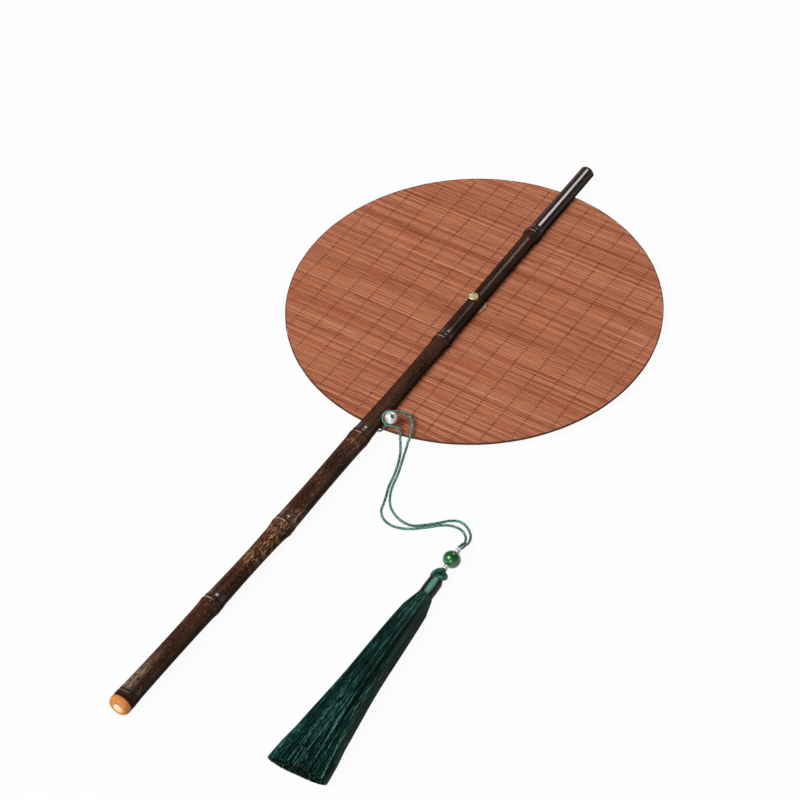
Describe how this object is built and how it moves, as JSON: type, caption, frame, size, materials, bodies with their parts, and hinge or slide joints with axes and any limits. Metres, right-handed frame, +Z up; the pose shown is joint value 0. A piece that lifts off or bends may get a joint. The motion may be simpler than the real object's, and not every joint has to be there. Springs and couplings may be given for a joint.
{
  "type": "round bamboo hand fan",
  "caption": "Rigid round hand fan: a leaf of bamboo slivers bound with rows of thread turns on a brass pin in a dark bamboo handle, with a corded green bead and silk tassel.",
  "frame": {"origin": "on the pin's axis, at the flat face of the rear cap, which lies on the table plane", "axes": "+Y along the handle towards its tip, +X to the handle's right, +Z up out of the leaf's front"},
  "size_m": [0.2167, 0.4573, 0.0138],
  "materials": {
    "dark_bamboo": "polished dark bamboo skin",
    "pale_wood": "bare end grain",
    "bamboo_slivers": "heat-browned satin bamboo",
    "binding_thread": "twisted cotton thread",
    "edge_cloth": "matt woven edging",
    "brass": "polished brass",
    "washer_metal": "worn pale brass",
    "silver": "polished silver-coloured metal",
    "green_bead": "glossy clouded green",
    "green_cord": "braided polyester cord",
    "dark_silk": "glossy wound silk",
    "green_silk": "combed rayon silk strands"
  },
  "bodies": {
    "handle": {"culm_grip": "dark_bamboo", "culm_planed": "dark_bamboo", "butt_plug": "pale_wood", "pivot_pin": "brass", "front_washer": "washer_metal", "rear_cap": "brass", "cord_stud": "silver", "stud_cord": "green_cord", "cord_hitch": "green_cord", "cord_strand_right": "green_cord", "cord_strand_left": "green_cord"},
    "leaf": {"bamboo_mat": "bamboo_slivers", "rim_binding": "edge_cloth", "hub_eyelet": "brass", "binding_thread_01": "binding_thread", "binding_thread_02": "binding_thread", "binding_thread_03": "binding_thread", "binding_thread_04": "binding_thread", "binding_thread_05": "binding_thread", "binding_thread_06": "binding_thread", "binding_thread_07": "binding_thread", "binding_thread_08_lower": "binding_thread", "binding_thread_08_upper": "binding_thread", "binding_thread_09": "binding_thread", "binding_thread_10": "binding_thread", "binding_thread_11": "binding_thread", "binding_thread_12": "binding_thread", "binding_thread_13": "binding_thread", "binding_thread_14": "binding_thread", "binding_thread_15": "binding_thread"},
    "tassel": {"core_cord": "green_cord", "upper_spacer_bead": "silver", "lower_spacer_bead": "silver", "tassel_knot": "green_cord", "neck_core": "dark_silk", "neck_winding": "dark_silk", "tassel_skirt": "green_silk"},
    "bead": {"jade_bead": "green_bead"}
  },
  "joints": [
    {"name": "leaf_turn", "type": "hinge", "parent": "handle", "child": "leaf", "pos_m": [0, 0, 0.0038], "axis": [0, 0, 1], "continuous": true},
    {"name": "tassel_swing", "type": "hinge", "parent": "handle", "child": "tassel", "pos_m": [0.088, -0.1558, 0.0051], "axis": [0, 0, 1], "range_deg": [-20, 40]},
    {"name": "bead_spin", "type": "hinge", "parent": "tassel", "child": "bead", "pos_m": [0.08837, -0.16439, 0.0051], "axis": [0.0436, -0.999, 0], "continuous": true}
  ]
}
